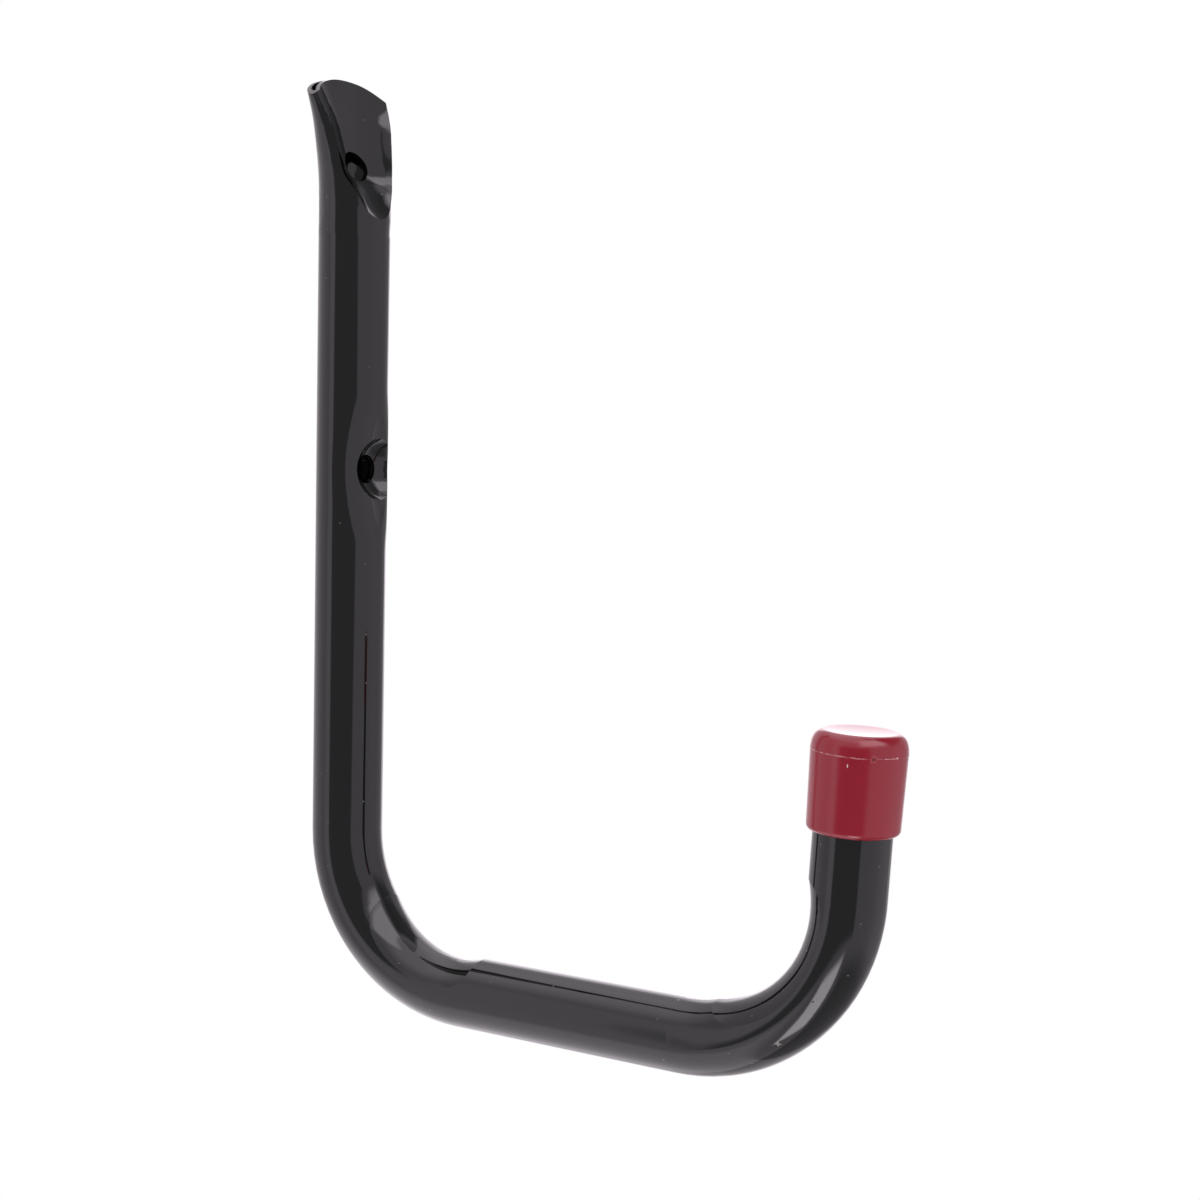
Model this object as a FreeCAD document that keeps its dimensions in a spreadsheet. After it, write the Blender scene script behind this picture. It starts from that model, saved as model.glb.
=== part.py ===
import FreeCAD, Part
import math
import os

os.makedirs("parts", exist_ok=True)

# Garage utility hook: one bent steel tube with a pressed top end and two screw holes,
# and a moulded push-on cap on its upturned tip.
#
# The wall is the YZ plane, x = 0. The hook stands out from it along +X and the leg is
# upright along Z. The origin lies on the wall, halfway between the two screw holes.
# All lengths are millimetres.

doc = FreeCAD.newDocument("garage_hook")
V = FreeCAD.Vector
X = V(1, 0, 0)
Y = V(0, 1, 0)
Z = V(0, 0, 1)

# The driving dimensions, kept in a spreadsheet.

DIMENSIONS = [
    ("tube_od", 19.0),            # outside diameter of the tube
    ("tube_wall", 1.2),           # wall thickness of the tube
    ("bend1_r", 39.5),            # centreline radius, leg to arm
    ("bend2_r", 42.0),            # centreline radius, arm to tip
    ("bend2_turn", 88.0),         # degrees of the second bend, which springs back a little
    ("arm_len", 66.1),            # straight arm between the two bends
    ("die_share", 0.86),          # radius of the bending die as a share of the bend's inside
    ("die_groove_r", 10.2),       # radius across the groove of the die
    ("die1_sink", 1.4),           # how deep the die marks the first bend
    ("die1_turn", 72.0),          # degrees into the first bend of the deepest point
    ("die2_sink", 2.0),           # how deep the die marks the second bend
    ("die2_turn", 58.0),          # degrees into the second bend of the deepest point
    ("hole_spacing", 78.8),       # between the two screw holes
    ("low_hole_drop", 97.7),      # lower screw hole to the start of the first bend
    ("top_rise", 22.5),           # upper screw hole to the top of the tube
    ("press_len", 41.0),          # length of the pressed top end
    ("ply_gap", 0.2),             # left between the two walls where they are closed
    ("crop_r", 21.0),             # radius the top end is cropped to
    ("crop_off", 1.7),            # middle of the crop off the tube's axis, towards +Y
    ("corner_r", 10.0),           # tighter radius of the crop at its +Y corner
    ("corner_turn", 12.0),        # degrees off the top where the corner starts
    ("press_turn", 8.5),          # degrees the press sits off the plane of the bends
    ("screw_hole_d", 7.6),        # screw holes, through both walls
    ("dent_depth", 0.75),         # front of the tube to the floor of the shallow dent
    ("dent_half_len", 15.0),      # half the height of the shallow dent
    ("dimple_r", 8.9),            # radius of the round punch that makes the dimple
    ("dimple_depth", 5.7),        # front of the tube to the deepest point of that punch
    ("tip_len", 35.7),            # straight tip after the second bend
    ("cap_len", 24.3),            # outside length of the end cap
    ("cap_top", 3.0),             # thickness of the closed end of the cap
    ("cap_clear", 0.05),          # radial clearance between cap and tube
    ("cap_low_wall", 1.45),       # wall of the cap just above the lip
    ("cap_lip_rise", 1.6),        # height above the lip where that is measured
    ("cap_part_wall", 1.9),       # wall of the cap at the parting line
    ("cap_part_rise", 20.1),      # height of the parting line above the lip
    ("cap_lip_round", 1.25),      # rounding of the lip
    ("cap_round", 3.1),           # rounding of the closed end
    ("flash_h", 0.14),            # how far the parting line stands out
    ("gate_d", 2.0),              # ring left by the moulding gate
    ("gate_drop", 0.6),           # middle of the gate below the parting line
    ("gate_turn", 36.0),          # degrees of the gate round the cap, from -Y towards +X
]

sheet = doc.addObject("Spreadsheet::Sheet", "dims")
for row, (name, value) in enumerate(DIMENSIONS, 1):
    sheet.set("A%d" % row, name)
    sheet.set("B%d" % row, str(value))
    sheet.setAlias("B%d" % row, name)
doc.recompute()


def dim(name):
    return float(sheet.get(name))


tube_r = dim("tube_od") / 2
wall = dim("tube_wall")
leg_x = tube_r                                   # the leg's back touches the wall
upper_z = dim("hole_spacing") / 2
lower_z = -dim("hole_spacing") / 2
top_z = upper_z + dim("top_rise")
press_z = top_z - dim("press_len")               # the press begins here


# Sections across the tube. Each is four quarter arcs, so that neighbouring pieces meet
# edge to edge.

def quarter(centre, a, b):
    """Quarter circle or quarter ellipse from centre + a to centre + b."""
    if abs(a.Length - b.Length) < 1e-9:
        middle = centre + (a + b) * math.sqrt(0.5)
        return Part.Arc(centre + a, middle, centre + b).toShape()
    curve = Part.BezierCurve()
    curve.setPoles([centre + a, centre + a + b, centre + b])
    curve.setWeight(2, math.sqrt(0.5))
    return curve.toShape()


def oval(centre, front, side, back):
    """Closed section from its reach to the front, to either side and to the back."""
    return Part.Wire([
        quarter(centre, front, side),
        quarter(centre, side, back),
        quarter(centre, back, side * -1),
        quarter(centre, side * -1, front),
    ])


def bind(thing, **formulas):
    """Ties properties of a document object to the spreadsheet."""
    for name, formula in formulas.items():
        thing.setExpression(name.replace("__", "."), formula)
    return thing


def solid(name, shape):
    """Document object for the pressed length."""
    thing = doc.addObject("Part::Feature", name)
    thing.Shape = shape
    return thing


def joined(name, pieces):
    thing = doc.addObject("Part::MultiFuse", name)
    thing.Shapes = pieces
    thing.Refine = False
    return thing


def less(name, base, tool):
    thing = doc.addObject("Part::Cut", name)
    thing.Base = base
    thing.Tool = tool
    thing.Refine = False
    return thing


ALONG_X = FreeCAD.Rotation(Y, 90)
ALONG_Y = FreeCAD.Rotation(X, -90)
UPRIGHT = FreeCAD.Rotation()
FROM_WALL = FreeCAD.Rotation(X * -1, Z * -1, Y * -1)     # a bend that starts at the leg
FROM_BELOW = FreeCAD.Rotation(Z * -1, X, Y * -1)         # a bend that starts at the arm
LEANING = FreeCAD.Placement(V(0, 0, 0), FreeCAD.Rotation(Y, 1))


def rod(name, radius, length, x, z, turn):
    """Round rod in the plane of the hook, tied to the spreadsheet."""
    thing = doc.addObject("Part::Cylinder", name)
    thing.Placement = FreeCAD.Placement(V(0, 0, 0), turn)
    bind(thing, Radius=radius, Height=length, Placement__Base__x=x, Placement__Base__z=z)
    return thing


# The same distances as formulas, for the objects tied to the spreadsheet. The tip leans out
# by what the second bend lacks of a right angle.
LEG_X = "dims.tube_od / 2"
UPPER_Z = "dims.hole_spacing / 2"
LOWER_Z = "-dims.hole_spacing / 2"
BEND1_Z = LOWER_Z + " - dims.low_hole_drop"
ARM_Z = BEND1_Z + " - dims.bend1_r"
ARM_X0 = LEG_X + " + dims.bend1_r"
LEG_LEN = "dims.hole_spacing + dims.low_hole_drop + dims.top_rise - dims.press_len"


def up_tip(rise):
    """Formulas for a placement on the tip's axis, this far above the end of the bend."""
    x = "%s + dims.arm_len + dims.bend2_r * sin(dims.bend2_turn) + (%s) * cos(dims.bend2_turn)"
    z = "%s + dims.bend2_r * (1 - cos(dims.bend2_turn)) + (%s) * sin(dims.bend2_turn)"
    return {"Placement__Base__x": x % (ARM_X0, rise), "Placement__Base__z": z % (ARM_Z, rise),
            "Placement__Rotation__Angle": "90 - dims.bend2_turn"}


def between(rows, share):
    """The values of a table at a share, on a smooth curve through its rows."""
    after = next((i for i in range(1, len(rows) - 1) if share < rows[i][0]), len(rows) - 1)
    low, high = rows[after - 1], rows[after]
    width = high[0] - low[0]
    t = (share - low[0]) / width

    def slope(i, column):
        left, right = rows[max(i - 1, 0)], rows[min(i + 1, len(rows) - 1)]
        return (right[column] - left[column]) / (right[0] - left[0])

    return [low[c] + (high[c] - low[c]) * (3 * t ** 2 - 2 * t ** 3)
            + slope(after - 1, c) * width * (t ** 3 - 2 * t ** 2 + t)
            + slope(after, c) * width * (t ** 3 - t ** 2) for c in range(1, len(low))]


def evenly(rows, count):
    """A table again, at even steps, so that a loft through it keeps calm."""
    first, last = rows[0][0], rows[-1][0]
    shares = [first + (last - first) * i / (count - 1) for i in range(count)]
    return [[share] + between(rows, share) for share in shares]


# The run of the tube, made once with the outside radius and once with the radius of the
# hollow. The hollow is cut out at the very end, so every bend and dent is shared by both.
# A bend turns from the wall side of its centre (0 degrees) through below it (90 degrees).

PIVOT_1 = (ARM_X0, BEND1_Z)
PIVOT_2 = (ARM_X0 + " + dims.arm_len", ARM_Z + " + dims.bend2_r")


def ring(name, major, minor, turn, x, z, axes):
    """Round rod bent about a centre, tied to the spreadsheet."""
    thing = doc.addObject("Part::Torus", name)
    thing.Placement = FreeCAD.Placement(V(0, 0, 0), axes)
    return bind(thing, Radius1=major, Radius2=minor, Angle3=turn,
                Placement__Base__x=x, Placement__Base__z=z)


def die(name, pivot, bend_r, sink, angle, skin):
    """Grooved wheel that the tube was bent round. It is smaller than the inside of the bend
    and sinks into it, so the flatter mark that it leaves runs out at both ends."""
    inside = "(%s - dims.tube_od / 2)" % bend_r
    off = "((1 - dims.die_share) * %s + %s)" % (inside, sink)
    x = "%s - %s * cos(%s)" % (pivot[0], off, angle)
    z = "%s - %s * sin(%s)" % (pivot[1], off, angle)
    rim_r = "dims.die_share * %s + dims.die_groove_r" % inside
    wheel = rod(name + "_wheel", rim_r, "2 * dims.tube_od", x, z, ALONG_Y)
    bind(wheel, Placement__Base__y="-dims.tube_od")
    groove = ring(name + "_groove", rim_r, "dims.die_groove_r - " + skin, "360", x, z, ALONG_Y)
    return less(name, wheel, groove)


def run(kind, skin, tip_more):
    """Every length of the hook but the press, marked by the two dies."""
    radius = "dims.tube_od / 2 - " + skin
    tip = doc.addObject("Part::Cylinder", kind + "_tip")
    tip.Placement = LEANING
    bind(tip, Radius=radius, Height="dims.tip_len + " + tip_more, **up_tip("0"))
    round_run = joined(kind + "_round", [
        rod(kind + "_leg", radius, LEG_LEN, LEG_X, BEND1_Z, UPRIGHT),
        ring(kind + "_bend_1", "dims.bend1_r", radius, "90", *PIVOT_1, FROM_WALL),
        rod(kind + "_arm", radius, "dims.arm_len", ARM_X0, ARM_Z, ALONG_X),
        ring(kind + "_bend_2", "dims.bend2_r", radius, "dims.bend2_turn", *PIVOT_2, FROM_BELOW),
        tip,
    ])
    marked = less(kind + "_marked_1", round_run,
                  die(kind + "_die_1", PIVOT_1, "dims.bend1_r", "dims.die1_sink",
                      "dims.die1_turn", skin))
    return less(kind + "_marked_2", marked,
                die(kind + "_die_2", PIVOT_2, "dims.bend2_r", "dims.die2_sink",
                    "(90 + dims.die2_turn)", skin))


# The pressed top end. The end of the tube lies on a block while a rounded punch comes down
# on its front. The punch starts below the upper hole, sinks the front wall to the middle
# of the tube at the hole, and at the very end lays it against the back wall. The tube
# spreads sideways as it flattens. The section is the spread oval less the punch.

# Share of the press length from its start, then, as shares of the tube's radius: the widest
# point in front of the tube's axis, the back of the tube behind it, the half width, and the
# bulge of the front before the punch.
SPREAD = [
    (0.00, 0.00, 1.000, 1.00, 1.00),
    (0.26, 0.05, 1.000, 1.03, 0.91),
    (0.42, 0.11, 0.998, 1.10, 0.72),
    (0.57, 0.06, 0.990, 1.21, 0.56),
    (0.72, -0.03, 0.975, 1.32, 0.43),
    (0.86, -0.25, 0.940, 1.42, 0.38),
    (1.04, -0.44, 0.905, 1.48, 0.29),
]

# Share of the press length, how far the punch has sunk, from the front of the tube (0) to
# both walls closed (1), and the radius of its nose as a share of the tube's radius.
PUNCH = [
    (0.02, -0.150, 1.14),
    (0.16, 0.110, 1.14),
    (0.30, 0.385, 1.14),
    (0.40, 0.590, 1.14),
    (0.52, 0.696, 1.14),
    (0.72, 0.839, 1.42),
    (0.87, 0.938, 2.10),
    (1.08, 1.000, 3.20),
]


def pressed(skin):
    """The pressed end. The skin is taken off all round, nothing for the outside and the
    wall thickness for the hollow."""
    press_len = dim("press_len")
    sections = []
    for share, widest, back, half_width, bulge in evenly(SPREAD, 10):
        centre = V(leg_x + widest * tube_r, 0, press_z + share * press_len)
        sections.append(oval(centre, X * (bulge * tube_r - skin), Y * (half_width * tube_r - skin),
                             X * (skin - (back + widest) * tube_r)))
    spread = Part.makeLoft(sections, True, False)
    closed = 2 * wall + dim("ply_gap") - SPREAD[-1][2] * tube_r
    punch_half_width = 1.8 * tube_r
    noses = []
    for share, sunk, radius in evenly(PUNCH, 12):
        deepest = tube_r + (closed - tube_r) * sunk
        depth = punch_half_width ** 2 / (radius * tube_r)
        centre = V(leg_x + deepest + depth, 0, press_z + share * press_len)
        noses.append(oval(centre, X * tube_r, Y * (punch_half_width + skin),
                          X * -(depth + skin)))
    punch = Part.makeLoft(noses, True, False)
    end = spread.cut(punch)
    end.rotate(V(leg_x, 0, 0), Z, -dim("press_turn"))
    return end


# The lower screw hole sits in a dimple that a round-nosed punch makes in the front of the
# leg. A long, shallow dent surrounds it, where the wall gave way with it.

BALL_R = "dims.dent_half_len ^ 2 / (2 * dims.dent_depth)"


def dent(kind, skin):
    """The shallow dent is a shallow slice of a large ball."""
    ball = doc.addObject("Part::Sphere", kind + "_dent_ball")
    bind(ball, Radius=BALL_R + " + " + skin, Placement__Base__z=LOWER_Z,
         Placement__Base__x="dims.tube_od - dims.dent_depth + " + BALL_R)
    near = rod(kind + "_dent_reach", "1.5 * dims.dent_half_len", "dims.tube_od", LEG_X,
               LOWER_Z, ALONG_X)
    slice_ = doc.addObject("Part::Common", kind + "_dent")
    slice_.Base = ball
    slice_.Tool = near
    slice_.Refine = False
    return slice_


def dimple(kind, skin):
    """The round nose of the punch, larger by the wall thickness for the hollow."""
    nose = doc.addObject("Part::Sphere", kind + "_dimple")
    bind(nose, Radius="dims.dimple_r + " + skin, Placement__Base__z=LOWER_Z,
         Placement__Base__x="dims.tube_od - dims.dimple_depth + dims.dimple_r")
    return nose


# The top is cropped to a round end.
CROP_Z = UPPER_Z + " + dims.top_rise - dims.crop_r"
crop_die = doc.addObject("Part::Box", "crop_die")
bind(crop_die, Length="4 * dims.tube_od", Width="4 * dims.tube_od", Height="2 * dims.crop_r",
     Placement__Base__x="-dims.tube_od", Placement__Base__y="-2 * dims.tube_od",
     Placement__Base__z=CROP_Z)
crop_round = rod("crop_round", "dims.crop_r", "6 * dims.tube_od", "-2 * dims.tube_od",
                 CROP_Z, ALONG_X)
bind(crop_round, Placement__Base__y="dims.crop_off")
crop = less("crop", crop_die, crop_round)
CORNER_Z = CROP_Z + " + (dims.crop_r - dims.corner_r) * cos(dims.corner_turn)"
corner_die = doc.addObject("Part::Box", "corner_die")
bind(corner_die, Length="4 * dims.tube_od", Width="2 * dims.tube_od", Height="2 * dims.crop_r",
     Placement__Base__x="-dims.tube_od",
     Placement__Base__y="dims.crop_off + dims.crop_r * sin(dims.corner_turn)",
     Placement__Base__z=CORNER_Z)
corner_round = rod("corner_round", "dims.corner_r", "6 * dims.tube_od", "-2 * dims.tube_od",
                   CORNER_Z, ALONG_X)
bind(corner_round,
     Placement__Base__y="dims.crop_off + (dims.crop_r - dims.corner_r) * sin(dims.corner_turn)")
corner = less("corner", corner_die, corner_round)


def whole(kind, skin, skin_name, tip_more):
    """The hook as a full rod, dimpled and pressed."""
    body = joined(kind + "_run", [run(kind, skin_name, tip_more),
                                  solid(kind + "_press", pressed(skin))])
    body = less(kind + "_dented", body, dent(kind, skin_name))
    return less(kind + "_dimpled", body, dimple(kind, skin_name))


outside = less("rounded", less("cropped", whole("outside", 0, "0", "0"), crop), corner)
hollow = whole("hollow", wall, "dims.tube_wall", "dims.tube_wall")
tube = less("hollowed", outside, hollow)

# Two screw holes go through the front and the back wall.
holes = joined("screw_holes", [
    rod("lower_screw_hole", "dims.screw_hole_d / 2", "3 * dims.tube_od", "-dims.tube_od",
        LOWER_Z, ALONG_X),
    rod("upper_screw_hole", "dims.screw_hole_d / 2", "3 * dims.tube_od", "-dims.tube_od",
        UPPER_Z, ALONG_X),
])
tube_hook = less("tube_hook", tube, holes)

# The end cap is moulded in one piece and pushed on until the tube's end meets its closed
# end. It widens slowly from the lip to the parting line and is rounded over the top. It is
# made upright over the origin, and the finished cap is set on the leaning tip.

BORE_R = "(dims.tube_od / 2 + dims.cap_clear)"
LOW_R = "(" + BORE_R + " + dims.cap_low_wall)"
PART_R = "(" + BORE_R + " + dims.cap_part_wall)"
TAPER = "(" + PART_R + " - " + LOW_R + ") / (dims.cap_part_rise - dims.cap_lip_rise)"
cap_taper = doc.addObject("Part::Cone", "cap_taper")
bind(cap_taper, Radius1=LOW_R + " - dims.cap_lip_rise * " + TAPER,
     Radius2=PART_R + " + (dims.cap_len - dims.cap_part_rise) * " + TAPER,
     Height="dims.cap_len")
doc.recompute()


def rim_edge(shape, height):
    """Number of the round edge at this height."""
    for number, edge in enumerate(shape.Edges, 1):
        if isinstance(edge.Curve, Part.Circle) and abs(edge.Curve.Center.z - height) < 1e-6:
            return number
    raise ValueError("no round edge at %.3f" % height)


cap_rounded = doc.addObject("Part::Fillet", "cap_rounded")
cap_rounded.Base = cap_taper
cap_rounded.Edges = [
    (rim_edge(cap_taper.Shape, 0), dim("cap_lip_round"), dim("cap_lip_round")),
    (rim_edge(cap_taper.Shape, dim("cap_len")), dim("cap_round"), dim("cap_round")),
]

# The two mould halves leave a thin ridge at the parting line, and the gate a small ring.
cap_flash = rod("cap_flash", PART_R + " + dims.flash_h", "2 * dims.flash_h", "0 mm",
                "dims.cap_part_rise", UPRIGHT)


def gate_rod(name, diameter):
    """Rod square to the side of the cap, just below the parting line."""
    turn = FreeCAD.Rotation(Z, -90 + dim("gate_turn")) * ALONG_X
    return rod(name, diameter + " / 2", PART_R + " + dims.flash_h / 2", "0 mm",
               "dims.cap_part_rise - dims.gate_drop", turn)


gate_ring = less("gate_ring", gate_rod("gate_outer", "dims.gate_d"),
                 gate_rod("gate_inner", "0.6 * dims.gate_d"))
cap_outside = joined("cap_outside", [cap_rounded, cap_flash, gate_ring])
cap_bore = rod("cap_bore", BORE_R, "dims.cap_len - dims.cap_top", "0 mm", "0 mm", UPRIGHT)
end_cap = less("end_cap", cap_outside, cap_bore)
end_cap.Placement = LEANING
bind(end_cap, **up_tip("dims.tip_len - dims.cap_len + dims.cap_top"))

doc.recompute()

# Everything is checked before the pieces are written out.
for thing in doc.Objects:
    for word in ("Invalid", "Error"):
        if word in thing.State:
            raise RuntimeError(thing.Name + " is " + word)

for thing in (tube_hook, end_cap):
    thing.Label = thing.Name
    shape = thing.Shape
    if shape.isNull() or not shape.isValid() or len(shape.Solids) != 1:
        raise RuntimeError(thing.Label + " isn't one sound solid")
    shape.Solids[0].exportStep("parts/" + thing.Label + ".step")
    print(thing.Label, round(shape.Volume, 1), "mm3", len(shape.Faces), "faces")
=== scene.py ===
# %% [markdown]
# # A garage utility hook
#
# A steel tube is bent into a hook, painted gloss black, and gets a red vinyl cap on its
# upturned tip. The tube arrives finished from the CAD side, so this script is about the
# two finishes, the cap, the light and the camera.

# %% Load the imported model
import math
import bmesh
import bpy
from mathutils import Matrix, Vector


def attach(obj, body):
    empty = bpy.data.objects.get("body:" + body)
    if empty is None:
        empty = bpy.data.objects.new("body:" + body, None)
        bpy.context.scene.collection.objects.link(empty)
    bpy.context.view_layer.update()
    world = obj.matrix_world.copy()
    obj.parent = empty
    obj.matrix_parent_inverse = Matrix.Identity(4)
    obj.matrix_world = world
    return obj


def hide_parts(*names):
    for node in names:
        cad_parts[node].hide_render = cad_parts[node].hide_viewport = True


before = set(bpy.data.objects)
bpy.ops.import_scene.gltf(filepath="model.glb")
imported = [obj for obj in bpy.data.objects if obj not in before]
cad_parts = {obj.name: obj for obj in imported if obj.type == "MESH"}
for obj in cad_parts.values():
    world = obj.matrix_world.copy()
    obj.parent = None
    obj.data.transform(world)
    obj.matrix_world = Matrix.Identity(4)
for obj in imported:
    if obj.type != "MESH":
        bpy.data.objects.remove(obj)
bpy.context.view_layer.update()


# %% [markdown]
# ## Small helpers
#
# Colours are written the way a colour picker shows them and turned into the linear values
# that a shader needs. Nodes are added with one function, which takes plain values for the
# sockets that don't vary and links for those that do.

# %% Helpers
def linear(hex_colour):
    """sRGB hex colour as linear RGBA."""
    shares = [int(hex_colour[i:i + 2], 16) / 255 for i in (0, 2, 4)]
    return tuple(s / 12.92 if s <= 0.04045 else ((s + 0.055) / 1.055) ** 2.4
                 for s in shares) + (1.0,)


def add(tree, kind, settings=None, **sockets):
    """Adds a node with its settings. A socket goes by its name, with _ for a space, or by
    its number after a _, and gets another socket (a link) or a plain value."""
    node = tree.nodes.new(kind)
    for name, value in (settings or {}).items():
        setattr(node, name, value)
    for name, value in sockets.items():
        key = int(name[1:]) if name[0] == "_" else name.replace("_", " ")
        socket = node.inputs[key]
        if isinstance(value, bpy.types.NodeSocket):
            tree.links.new(value, socket)
        else:
            socket.default_value = value
    return node


def new_material(name):
    """Empty material with its output and its surface shader."""
    material = bpy.data.materials.new(name)
    material.use_nodes = True
    tree = material.node_tree
    tree.nodes.clear()
    output = add(tree, "ShaderNodeOutputMaterial")
    shader = add(tree, "ShaderNodeBsdfPrincipled")
    tree.links.new(shader.outputs[0], output.inputs["Surface"])
    return material, tree, shader


# %% [markdown]
# Small marks are laid over a finish one by one. They could be painted on an image, but the
# pieces would need to be unwrapped for it. Here a soft-edged spot in space says where a mark
# is, and a colour goes over what is below it.

# %% Marks
def spot(tree, place, centre, radii, edge):
    """1 inside an ellipsoid about a point and 0 outside; the edge is a share of its size."""
    offset = add(tree, "ShaderNodeVectorMath", {"operation": "SUBTRACT"},
                 _0=place, _1=centre)
    scaled = add(tree, "ShaderNodeVectorMath", {"operation": "DIVIDE"},
                 _0=offset.outputs[0], _1=radii)
    away = add(tree, "ShaderNodeVectorMath", {"operation": "LENGTH"}, _0=scaled.outputs[0])
    return add(tree, "ShaderNodeMapRange", {"interpolation_type": "SMOOTHSTEP"},
               Value=away.outputs["Value"], From_Min=1 - edge, From_Max=1.0,
               To_Min=1.0, To_Max=0.0).outputs[0]


def coloured(tree, below, share, hex_colour):
    """A colour laid over another one where the share is 1."""
    return add(tree, "ShaderNodeMix", {"data_type": "RGBA"}, _0=share, A=below,
               B=linear(hex_colour)).outputs["Result"]


# %% [markdown]
# ## Black paint on steel
#
# The tube is sprayed in gloss black enamel. The film is glass smooth at arm's length, so it
# mirrors whatever stands round it and shows little colour of its own. It could be a dull
# black under a clear coat, but a single gloss layer with the IOR of enamel looks the same
# and has fewer values to match.

# %% Black paint
ENAMEL_IOR = 1.5
ENAMEL_ROUGHNESS = 0.06
BLACK = "121213"

paint, tree, shader = new_material("gloss_black_enamel")
place = add(tree, "ShaderNodeTexCoord").outputs["Object"]
shader.inputs["IOR"].default_value = ENAMEL_IOR
shader.inputs["Roughness"].default_value = ENAMEL_ROUGHNESS
print("paint:", paint.name)

# %% [markdown]
# On the second bend a small crossed chip shows pale primer. It could be cut into the mesh,
# but a chip is only as deep as the film, so two crossed spots of colour are enough.

# %% Chip
MM = 0.001                              # a millimetre in metres
CHIP = Vector((144.4, -8.0, -171.4)) * MM
CHIP_STROKES = ((1.3 * MM, 1.0 * MM, 0.32 * MM), (0.35 * MM, 1.0 * MM, 1.1 * MM))
CHIP_EDGE = 0.6
PRIMER = "8F8F8C"

black = linear(BLACK)
for radii in CHIP_STROKES:
    black = coloured(tree, black, spot(tree, place, CHIP, radii, CHIP_EDGE), PRIMER)
print("chip of %d strokes" % len(CHIP_STROKES))

# %% [markdown]
# While the film dries it sags a little, which leaves a long, very shallow wave. The mesh
# could be displaced, but the wave is thinner than a hair, so a bump that only turns the
# normal gives the same look.

# %% Sag wave
SAG_LONG = 14 * MM
SAG_DEEP = 0.05 * MM

sag = add(tree, "ShaderNodeTexNoise", Vector=place, Scale=1 / SAG_LONG, Detail=1.0)
wave = add(tree, "ShaderNodeBump", Height=sag.outputs["Fac"], Strength=1.0,
           Distance=SAG_DEEP)
print("sag wave %.0f mm long" % (SAG_LONG / MM))

# %% [markdown]
# Dust settles in the wet film and leaves pale nibs, about half a millimetre wide. Each could
# be a lump of mesh, but there are a few hundred, so a Voronoi pattern places them: each of
# its cells has one point, and one cell in five keeps it as a nib.

# %% Dust nibs
NIB_SPACING = 2.6 * MM
NIB_SHARE = 0.2                         # share of the cells that hold a nib
NIB_TOP, NIB_FOOT = 0.03, 0.12          # radii of a nib, as shares of the spacing
NIB_HIGH = 0.06 * MM
DUST = "5E5E60"

cells = add(tree, "ShaderNodeTexVoronoi", Vector=place, Scale=1 / NIB_SPACING)
chance = add(tree, "ShaderNodeSeparateColor", Color=cells.outputs["Color"]).outputs[0]
chosen = add(tree, "ShaderNodeMath", {"operation": "GREATER_THAN"},
             _0=chance, _1=1 - NIB_SHARE)
mound = add(tree, "ShaderNodeMapRange", {"interpolation_type": "SMOOTHSTEP"},
            Value=cells.outputs["Distance"], From_Min=NIB_TOP, From_Max=NIB_FOOT,
            To_Min=1.0, To_Max=0.0)
nibs = add(tree, "ShaderNodeMath", {"operation": "MULTIPLY"},
           _0=mound.outputs[0], _1=chosen.outputs[0]).outputs[0]
tree.links.new(coloured(tree, black, nibs, DUST), shader.inputs["Base Color"])
speckled = add(tree, "ShaderNodeBump", Height=nibs, Strength=1.0, Distance=NIB_HIGH,
               Normal=wave.outputs[0])
print("nibs %.2f mm in radius" % (NIB_FOOT * NIB_SPACING / MM))

# %% [markdown]
# Round the lower screw hole the punch drew the wall in further than the dimple that is
# modelled, so the dark reflection bulges there. The mesh could be pushed in, but the tube
# arrives finished from the CAD side, so a wide soft bump turns the normal instead.

# %% Drawn-in wall
PUNCHED = (19 * MM, 0, -39.4 * MM)      # where the punch met the front of the leg
DRAWN_NEAR, DRAWN_FAR = 2 * MM, 14 * MM
DRAWN_DEEP = 2.6 * MM
DRAWN_SCALE = (1, 1, 0.6)               # it reaches further up and down than sideways

offset = add(tree, "ShaderNodeVectorMath", {"operation": "SUBTRACT"},
             _0=place, _1=PUNCHED)
scaled = add(tree, "ShaderNodeVectorMath", {"operation": "MULTIPLY"},
             _0=offset.outputs[0], _1=DRAWN_SCALE)
away = add(tree, "ShaderNodeVectorMath", {"operation": "LENGTH"}, _0=scaled.outputs[0])
slope = add(tree, "ShaderNodeMapRange", {"interpolation_type": "SMOOTHERSTEP"},
            Value=away.outputs["Value"], From_Min=DRAWN_NEAR, From_Max=DRAWN_FAR,
            To_Min=0.0, To_Max=1.0)
drawn = add(tree, "ShaderNodeBump", Height=slope.outputs[0], Strength=1.0,
            Distance=DRAWN_DEEP, Normal=speckled.outputs[0])
print("wall drawn in over %.0f mm" % (DRAWN_FAR / MM))

# %% [markdown]
# The pressed face at the top mirrors its surroundings as if it stood more upright than it is
# modelled. The mesh could be turned there, but its outline is right as it is, so a little is
# taken off the Z of the normals that face the front, more so towards the top.

# %% Pressed face
PRESS_LOW, PRESS_HIGH = 26 * MM, 44 * MM    # heights between which the turn grows
PRESS_TURN = -0.26                          # added to the Z of the normal
SIDE_X, FRONT_X = 0.45, 0.8                 # X of a normal that faces the side, the front

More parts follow.
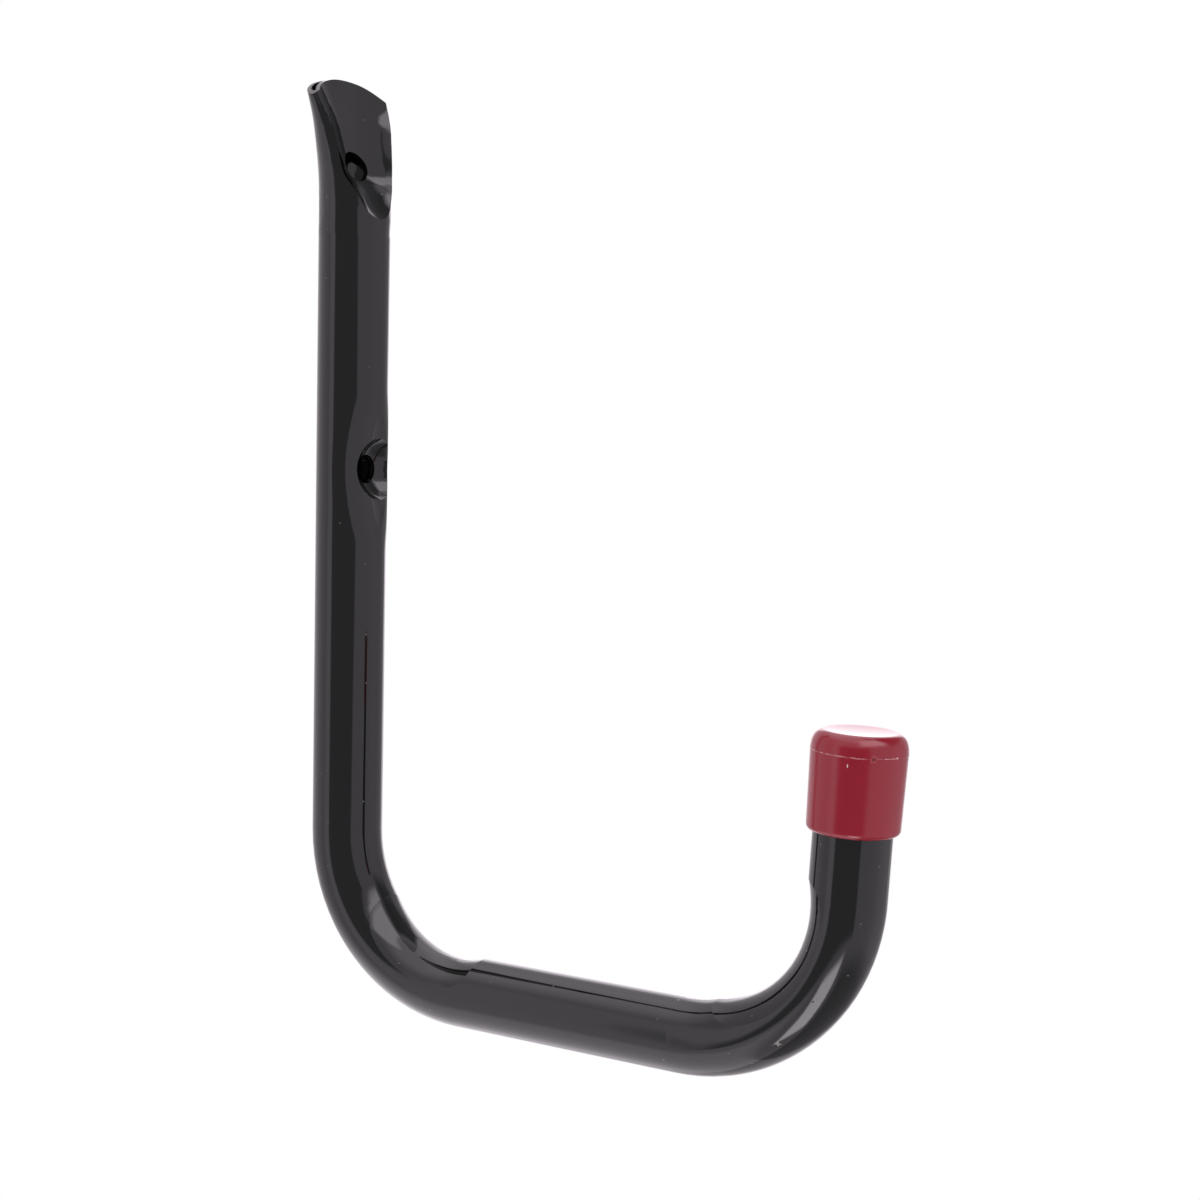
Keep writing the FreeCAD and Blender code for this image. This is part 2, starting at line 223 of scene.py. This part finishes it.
pressed = add(tree, "ShaderNodeMapRange", {"interpolation_type": "SMOOTHSTEP"},
              Value=add(tree, "ShaderNodeSeparateXYZ", Vector=place).outputs["Z"],
              From_Min=PRESS_LOW, From_Max=PRESS_HIGH, To_Min=0.0, To_Max=PRESS_TURN)
facing = add(tree, "ShaderNodeSeparateXYZ",
             Vector=add(tree, "ShaderNodeTexCoord").outputs["Normal"]).outputs["X"]
front = add(tree, "ShaderNodeMapRange", {"interpolation_type": "SMOOTHSTEP"},
            Value=facing, From_Min=SIDE_X, From_Max=FRONT_X, To_Min=0.0, To_Max=1.0)
amount = add(tree, "ShaderNodeMath", {"operation": "MULTIPLY"},
             _0=pressed.outputs[0], _1=front.outputs[0])
downward = add(tree, "ShaderNodeCombineXYZ", Z=amount.outputs[0])
turned_down = add(tree, "ShaderNodeVectorMath", {"operation": "ADD"},
                  _0=drawn.outputs[0], _1=downward.outputs[0])
normal = add(tree, "ShaderNodeVectorMath", {"operation": "NORMALIZE"},
             _0=turned_down.outputs[0])
tree.links.new(normal.outputs[0], shader.inputs["Normal"])
print("nodes in the paint:", len(tree.nodes))

# %% [markdown]
# The tube is sprayed after it is bent, pressed and punched, so the paint goes on all of it.
# The mesh has a slot from the CAD side already, and putting the paint in it leaves the faces
# as they are.

# %% Paint the tube
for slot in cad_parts["tube_hook"].material_slots:
    slot.material = paint
print("painted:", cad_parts["tube_hook"].name)

# %% [markdown]
# ## Red vinyl
#
# The cap is moulded in soft red vinyl (plasticised PVC). It shines, but its skin is less
# smooth than paint, so reflections have soft edges. Its top is smoother than its side, and
# its red is faintly mottled. Top and side could have a material each, but that would draw a
# hard edge between them, so the roughness follows the height above the lip.

# %% Red vinyl
VINYL_IOR = 1.53
SIDE_ROUGHNESS, TOP_ROUGHNESS = 0.22, 0.07
SMOOTH_LOW, SMOOTH_HIGH = 22.7 * MM, 23.4 * MM  # heights between which it gets smooth
CAP_LEAN = math.radians(2)                      # the tip leans outward
MOTTLE_LONG = 5 * MM
DARK_RED, LIGHT_RED = "940624", "9F0B28"

vinyl, tree, shader = new_material("red_vinyl")
place = add(tree, "ShaderNodeTexCoord").outputs["Object"]
shader.inputs["IOR"].default_value = VINYL_IOR

cap_axis = Vector((math.sin(CAP_LEAN), 0, math.cos(CAP_LEAN)))
height = add(tree, "ShaderNodeVectorMath", {"operation": "DOT_PRODUCT"},
             _0=place, _1=cap_axis).outputs["Value"]
polish = add(tree, "ShaderNodeMapRange", {"interpolation_type": "SMOOTHSTEP"},
             Value=height, From_Min=SMOOTH_LOW, From_Max=SMOOTH_HIGH,
             To_Min=SIDE_ROUGHNESS, To_Max=TOP_ROUGHNESS)
tree.links.new(polish.outputs[0], shader.inputs["Roughness"])

mottle = add(tree, "ShaderNodeTexNoise", Vector=place, Scale=1 / MOTTLE_LONG, Detail=3.0)
red = coloured(tree, linear(DARK_RED), mottle.outputs["Fac"], LIGHT_RED)
print("vinyl:", vinyl.name)

# %% [markdown]
# The two mould halves left a thin line of flash, worn pale in places. The line itself is in
# the mesh of the cap. Its worn look could be one even colour, but wear comes and goes, so
# noise says how pale each stretch is.

# %% Parting line
PARTING = 19.2 * MM                     # its height above the lip
LINE_CORE, LINE_EDGE = 0.04 * MM, 0.17 * MM     # from its middle
WEAR_LONG = 1.6 * MM
WEAR_LOW, WEAR_HIGH = 0.42, 0.60        # values of the noise where wear starts and is full
WEAR_MOST = 0.85
WORN_RED = "E9A9B0"

off_line = add(tree, "ShaderNodeMath", {"operation": "SUBTRACT"}, _0=height, _1=PARTING)
off_line = add(tree, "ShaderNodeMath", {"operation": "ABSOLUTE"}, _0=off_line.outputs[0])
on_line = add(tree, "ShaderNodeMapRange", {"interpolation_type": "SMOOTHSTEP"},
              Value=off_line.outputs[0], From_Min=LINE_CORE, From_Max=LINE_EDGE,
              To_Min=1.0, To_Max=0.0)
wear = add(tree, "ShaderNodeTexNoise", Vector=place, Scale=1 / WEAR_LONG, Detail=2.0)
worn = add(tree, "ShaderNodeMapRange", Value=wear.outputs["Fac"], From_Min=WEAR_LOW,
           From_Max=WEAR_HIGH, To_Min=0.0, To_Max=WEAR_MOST)
pale = add(tree, "ShaderNodeMath", {"operation": "MULTIPLY"},
           _0=on_line.outputs[0], _1=worn.outputs[0])
red = coloured(tree, red, pale.outputs[0], WORN_RED)
print("parting line %.1f mm above the lip" % (PARTING / MM))


# %% [markdown]
# The gate, where the vinyl flowed in, is a small worn ring on that line, with a dark dot in
# it. Below the line is a pale nick, and further to the right a pale speck. Each is a spot on
# the cap's side, listed by where it is and how it looks.

# %% Gate, nick and speck
def on_cap(turn, radius, up):
    """A point on the cap, by turn from the front towards the right and height from the lip."""
    turn = math.radians(turn)
    return Matrix.Rotation(CAP_LEAN, 3, "Y") @ Vector(
        (radius * math.sin(turn), -radius * math.cos(turn), up))


GATE_TURN = 39                          # degrees
GATE_RISE = -0.1 * MM                   # from the parting line
# turn, radius on the cap, rise from the parting line, radii in mm, edge and colour
SPOTS = (
    (GATE_TURN, 11.45 * MM, GATE_RISE, (1.0, 1.0, 1.0), 0.3, "B43040"),     # worn ring
    (GATE_TURN, 11.45 * MM, GATE_RISE, (0.6, 0.6, 0.6), 0.6, "6A0C1B"),     # dark dot
    (9.5, 11.42 * MM, -2.0 * MM, (0.17, 0.3, 0.55), 0.5, "F3DDDD"),         # nick
    (71, 11.46 * MM, 0.1 * MM, (0.3, 0.3, 0.3), 0.5, "F0BCBC"),             # speck
)

for turn, radius, rise, radii_mm, edge, hex_colour in SPOTS:
    centre = on_cap(turn, radius, PARTING + rise)
    share = spot(tree, place, centre, [size * MM for size in radii_mm], edge)
    red = coloured(tree, red, share, hex_colour)
tree.links.new(red, shader.inputs["Base Color"])
print("spots on the cap:", len(SPOTS))

# %% [markdown]
# ## The cap
#
# The cap is one moulding: a thin cup with a rounded lip that widens to the parting line of
# its two mould halves, a rounded shoulder above it, and a top that has sunk a little as it
# cooled. A cylinder with bevelled edges would be quick, but it has no flash, taper or sink.
# All of it is round about one axis, so one profile is turned into a mesh. It takes the place
# of the CAD cap and sits about 2 mm higher at its lip, as the photograph shows it.

# %% Cap sizes
TUBE_END = Vector((158.32, 0, -100.39)) * MM    # middle of the tube's end
CAP_ROOF = 3.0 * MM
CAP_RISE = 1.64 * MM                    # how far the roof stands off the tube's end
CAP_LONG = 23.9 * MM
LIP_R, PARTING_R, TOP_R, BORE_R = 11.1 * MM, 11.46 * MM, 8.8 * MM, 9.55 * MM
LIP_ROUND = 1.25 * MM
FLASH = 0.08 * MM                       # how far the flash stands out
SINK = 0.35 * MM                        # how far the top has sunk in the middle

cap_top = TUBE_END + (CAP_RISE + CAP_ROOF) * cap_axis
cap_lip = cap_top - CAP_LONG * cap_axis
print("cap lip %.1f mm, top %.1f mm" % (cap_lip.z / MM, cap_top.z / MM))

# %% [markdown]
# The profile starts in the middle of the bore's roof, goes down the bore, round the lip and
# up the outside, and ends in the middle of the top. Each curved part is a quarter of an
# ellipse, sampled evenly. Two close rows of points at each end of the straight side keep its
# shading flat.

# %% Profile
MOUTH_HIGH, MOUTH_WIDE = 0.2 * MM, 0.1 * MM     # the chamfer at the mouth of the bore
MOUTH_FOOT = 0.02 * MM
ROW = 0.3 * MM                                  # between the close rows of points
LIP_STEPS, SHOULDER_STEPS, TOP_STEPS = 8, 20, 8


def quarter(centre, radii, start, count):
    """Points on a quarter of an ellipse from the start angle, in degrees, upwards."""
    turns = [math.radians(start + 90 * i / count) for i in range(count + 1)]
    return [(centre[0] + radii[0] * math.cos(t), centre[1] + radii[1] * math.sin(t))
            for t in turns]


side_long = PARTING - LIP_ROUND
taper = (PARTING_R - LIP_R) / side_long
shoulder = PARTING + 2 * FLASH                  # where the shoulder starts

profile = [(0, CAP_LONG - CAP_ROOF), (BORE_R, CAP_LONG - CAP_ROOF), (BORE_R, MOUTH_HIGH),
           (BORE_R + MOUTH_WIDE, MOUTH_FOOT)]
profile += quarter((LIP_R - LIP_ROUND, LIP_ROUND), (LIP_ROUND, LIP_ROUND), 270, LIP_STEPS)
profile += [(LIP_R + taper * rise, LIP_ROUND + rise)
            for rise in (ROW, 2 * ROW, side_long - 2 * ROW, side_long - ROW)]
profile += [(PARTING_R, PARTING - FLASH), (PARTING_R + FLASH, PARTING),
            (PARTING_R, PARTING + FLASH)]
profile += quarter((TOP_R, shoulder), (PARTING_R - TOP_R, CAP_LONG - shoulder),
                   0, SHOULDER_STEPS)
profile += [(TOP_R * (1 - i / TOP_STEPS), CAP_LONG - SINK * (1 - (1 - i / TOP_STEPS) ** 2))
            for i in range(1, TOP_STEPS + 1)]
print("points in the profile:", len(profile))

# %% [markdown]
# A screw modifier could turn the profile, but building the faces here gives each end of the
# profile one shared point on the axis, so the mesh is closed as it stands. The lean of the
# tip is put into the mesh and not into the object, so that the cap's box has no room to
# spare when the model is measured.

# %% Turning
CAP_SEGMENTS = 192


def turned(name, points, segments):
    """A mesh object turned from a profile of radius and height about its own Z axis."""
    turns = [2 * math.pi * i / segments for i in range(segments)]
    mesh = bpy.data.meshes.new(name)
    work = bmesh.new()
    rings = []
    for radius, z in points:
        if radius == 0:
            rings.append([work.verts.new((0, 0, z))] * segments)
        else:
            rings.append([work.verts.new((radius * math.sin(t), -radius * math.cos(t), z))
                          for t in turns])
    for lower, upper in zip(rings, rings[1:]):
        for i in range(segments):
            following = (i + 1) % segments
            corners = dict.fromkeys((lower[i], lower[following], upper[following], upper[i]))
            work.faces.new(list(corners)).smooth = True
    work.to_mesh(mesh)
    work.free()
    made = bpy.data.objects.new(name, mesh)
    bpy.context.scene.collection.objects.link(made)
    return made


cap = turned("vinyl_cap", profile, CAP_SEGMENTS)
cap.data.transform(Matrix.Rotation(CAP_LEAN, 4, "Y"))
cap.location = cap_lip
cap.data.materials.append(vinyl)
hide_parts("end_cap")
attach(cap, "root")
print("cap faces:", len(cap.data.polygons))

# %% [markdown]
# Where the gate was cut off, a small ring stands up from the cap's side. It could be joined
# to the cap with a boolean, but that would cut up the cap's even faces. It is a torus half
# sunk into the side, on the same origin as the cap, so that the marks fall in place on it.

# %% Gate ring
RING_R, RING_WIRE_R = 0.8 * MM, 0.17 * MM
RING_SEAT_R = 11.42 * MM                # from the cap's axis to the ring

bpy.ops.mesh.primitive_torus_add(major_radius=RING_R, minor_radius=RING_WIRE_R,
                                 major_segments=48, minor_segments=12)
gate = bpy.context.object
gate.name = "gate_ring"
gate.data.transform(Matrix.Translation(on_cap(GATE_TURN, RING_SEAT_R, PARTING + GATE_RISE)) @
                    Matrix.Rotation(CAP_LEAN, 4, "Y") @
                    Matrix.Rotation(math.radians(GATE_TURN), 4, "Z") @
                    Matrix.Rotation(math.radians(90), 4, "X"))
gate.location = cap_lip
gate.data.polygons.foreach_set("use_smooth", [True] * len(gate.data.polygons))
gate.data.materials.append(vinyl)
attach(gate, "root")
print("ring faces:", len(gate.data.polygons))

# %% [markdown]
# ## Camera
#
# The photograph was taken from the front and a little above, with the hook pointing to the
# right. A camera could be pointed at the hook with a constraint, but then its roll would be
# hard to match. Its three axes are worked out from three angles instead.

# %% View
VIEW_AZIMUTH = math.radians(30.12)      # from -Y towards +X
VIEW_ELEVATION = math.radians(7.16)
VIEW_ROLL = math.radians(1.67)

back = Vector((math.sin(VIEW_AZIMUTH) * math.cos(VIEW_ELEVATION),
               -math.cos(VIEW_AZIMUTH) * math.cos(VIEW_ELEVATION),
               math.sin(VIEW_ELEVATION)))
level_right = Vector((math.cos(VIEW_AZIMUTH), math.sin(VIEW_AZIMUTH), 0))
level_up = back.cross(level_right)
right = math.cos(VIEW_ROLL) * level_right + math.sin(VIEW_ROLL) * level_up
up = math.cos(VIEW_ROLL) * level_up - math.sin(VIEW_ROLL) * level_right
print("towards the camera: %.3f %.3f %.3f" % tuple(back))

# %% [markdown]
# The camera stands where one known point, the lower end of the leg, falls on the pixel where
# the photograph shows it. It could be moved by eye until the pictures agree, but from the
# focal length and the distance its place can be worked out.

# %% Camera
FOCAL_PX = 1871.9                       # focal length in pixels of the frame
FRAME_PX = 1200
CENTRE_PX = (597.1, 697.2)              # where the optical axis meets the frame
AIM_PX = (347.4, 832.5)                 # where the end of the leg is seen
AIM = Vector((9.5 * MM, 0, -138.6 * MM))
AIM_DEPTH = 513.8 * MM                  # from the camera, along the optical axis
SENSOR_MM = 36

across = (AIM_PX[0] - CENTRE_PX[0]) / FOCAL_PX * AIM_DEPTH
down = (AIM_PX[1] - CENTRE_PX[1]) / FOCAL_PX * AIM_DEPTH
eye = AIM - across * right + down * up + AIM_DEPTH * back
axes = Matrix((right, up, back)).transposed()

camera = bpy.data.objects.new("camera", bpy.data.cameras.new("camera"))
bpy.context.scene.collection.objects.link(camera)
camera.matrix_world = Matrix.Translation(eye) @ axes.to_4x4()
camera.data.sensor_width = SENSOR_MM
camera.data.lens = FOCAL_PX * SENSOR_MM / FRAME_PX
camera.data.shift_x = (FRAME_PX / 2 - CENTRE_PX[0]) / FRAME_PX
camera.data.shift_y = (CENTRE_PX[1] - FRAME_PX / 2) / FRAME_PX
camera.data.clip_start = 10 * MM
bpy.context.scene.camera = camera
print("lens %.1f mm, %.2f m away" % (camera.data.lens, (camera.location - AIM).length))

# %% [markdown]
# ## The white tent
#
# Gloss black is seen by what it mirrors, so the surroundings matter more than any lamp. A
# product photographer puts a white tent round such a piece. It could be built of lit panels,
# but here it is drawn in the world shader by direction alone, so a part of it is moved by
# changing its angles. Each part is a soft-edged patch between two azimuths (from the front,
# -Y, towards the right, +X) and two elevations.

# %% World
world = bpy.data.worlds.new("white_tent")
world.use_nodes = True
bpy.context.scene.world = world
tree = world.node_tree
tree.nodes.clear()
direction = add(tree, "ShaderNodeSeparateXYZ",
                Vector=add(tree, "ShaderNodeTexCoord").outputs["Generated"])
towards_front = add(tree, "ShaderNodeMath", {"operation": "MULTIPLY"},
                    _0=direction.outputs["Y"], _1=-1.0).outputs[0]
azimuth = add(tree, "ShaderNodeMath", {"operation": "ARCTAN2"},
              _0=direction.outputs["X"], _1=towards_front).outputs[0]
elevation = add(tree, "ShaderNodeMath", {"operation": "ARCSINE"},
                _0=direction.outputs["Z"]).outputs[0]
print("world:", world.name)


# %% [markdown]
# The walls are white, the ceiling and the table brighter, and the camera stands in the half
# dark of an opening at the front. Two softboxes give the highlights on the bends, and a lit
# strip at the back is mirrored in the top of the cap. A later patch covers an earlier one
# where they meet.

# %% Patches
def patch(below, azimuths, elevations, softness, brightness):
    """One patch of the tent over what is there already, all angles in degrees."""
    outside = []
    for angle, (low, high) in ((azimuth, azimuths), (elevation, elevations)):
        away = add(tree, "ShaderNodeMath", {"operation": "SUBTRACT"},
                   _0=angle, _1=math.radians((low + high) / 2)).outputs[0]
        away = add(tree, "ShaderNodeMath", {"operation": "ABSOLUTE"}, _0=away).outputs[0]
        outside.append(add(tree, "ShaderNodeMath", {"operation": "SUBTRACT"},
                           _0=away, _1=math.radians((high - low) / 2)).outputs[0])
    farthest = add(tree, "ShaderNodeMath", {"operation": "MAXIMUM"},
                   _0=outside[0], _1=outside[1]).outputs[0]
    share = add(tree, "ShaderNodeMapRange", {"interpolation_type": "SMOOTHSTEP"},
                Value=farthest, From_Min=-math.radians(softness),
                From_Max=math.radians(softness), To_Min=1.0, To_Max=0.0).outputs[0]
    return add(tree, "ShaderNodeMix", _0=share, _2=below, _3=brightness).outputs[0]


# azimuths, elevations, softness of the edge and brightness of a patch
PATCHES = (
    ((-140, -25), (-35, 35), 10, 0.9),      # left wall
    ((-200, -148), (-40, 70), 12, 1.4),     # back, left of the wall
    ((135, 200), (-40, 25), 24, 0.6),       # back, right of the wall
    ((-200, 200), (48, 100), 14, 1.95),     # ceiling
    ((107, 178), (24, 68), 8, 0.28),        # gap below the ceiling
    ((-138, -8), (-100, -30), 10, 1.85),    # lit table
    ((47, 170), (-100, -36), 8, 0.42),      # table in shade
    ((95, 205), (70, 100), 7, 0.95),        # ceiling, far end
    ((-43, -18), (-35, 38), 6, 1.3),        # edge of the wall
    ((-26.5, 48), (-25, 25), 2.5, 0.35),    # opening at the front
    ((25, 97), (34, 69), 5, 3.7),           # softbox above
    ((8, 37), (-62, -31), 3, 5.5),          # softbox below
    ((-175, -138), (-6, 26), 5, 2.15),      # lit strip at the back
)

level = 1.0                                 # the bare tent
for azimuths, elevations, softness, brightness in PATCHES:
    level = patch(level, azimuths, elevations, softness, brightness)
print("patches in the tent:", len(PATCHES))

# %% [markdown]
# The same tent lights the diffuse red of the cap, with its brightest parts held back, so
# that a colour renders about as it is written. What is mirrored has a trace of magenta, as
# the greys in the photograph do. The camera sees plain white behind the hook.

# %% Rays
HELD_AT = 1.2                           # the brightest level that counts as diffuse light
DIFFUSE_SHARE = 0.87
WHITE, MIRRORED_WHITE = "FFFFFF", "FFF8FF"

held = add(tree, "ShaderNodeMath", {"operation": "MINIMUM"},
           _0=level, _1=HELD_AT).outputs[0]
plain = add(tree, "ShaderNodeMath", {"operation": "MULTIPLY"},
            _0=held, _1=DIFFUSE_SHARE).outputs[0]
paths = add(tree, "ShaderNodeLightPath").outputs
mirrored = add(tree, "ShaderNodeMath", {"operation": "MAXIMUM"},
               _0=paths["Is Glossy Ray"], _1=paths["Is Transmission Ray"]).outputs[0]
strength = add(tree, "ShaderNodeMix", _0=mirrored, _2=plain, _3=level).outputs[0]
tint = coloured(tree, linear(WHITE), mirrored, MIRRORED_WHITE)
tent = add(tree, "ShaderNodeBackground", Color=tint, Strength=strength)
backdrop = add(tree, "ShaderNodeBackground", Color=linear(WHITE), Strength=1.0)
shown = add(tree, "ShaderNodeMixShader", _0=paths["Is Camera Ray"],
            _1=tent.outputs[0], _2=backdrop.outputs[0])
add(tree, "ShaderNodeOutputWorld", Surface=shown.outputs[0])
print("nodes in the world:", len(tree.nodes))

# %% [markdown]
# ## Floor
#
# The hook hangs on a wall, and a pale floor lies below it, where it takes a soft shadow. A
# plain disc is enough for that. Glossy rays pass through it, so that the paint mirrors the
# tent's table and not the disc.

# %% Floor
FLOOR_R = 400 * MM
FLOOR_MIDDLE = (80 * MM, 0, -420 * MM)
FLOOR_ROUGHNESS = 0.9
FLOOR_WHITE = "FCFCFC"

bpy.ops.mesh.primitive_circle_add(vertices=96, radius=FLOOR_R, fill_type="NGON",
                                  location=FLOOR_MIDDLE)
floor = bpy.context.object
floor.name = "floor"
floor.visible_glossy = False
floor_paint, tree, shader = new_material("matt_white_floor")
shader.inputs["Base Color"].default_value = linear(FLOOR_WHITE)
shader.inputs["Roughness"].default_value = FLOOR_ROUGHNESS
shader.inputs["Specular IOR Level"].default_value = 0.0
floor.data.materials.append(floor_paint)
print("floor: %.1f m across" % (2 * FLOOR_R))

# %% [markdown]
# ## Finish
#
# Plain white has to stay plain white, so the colours aren't graded.

# %% Finish
bpy.context.scene.view_settings.view_transform = "Standard"
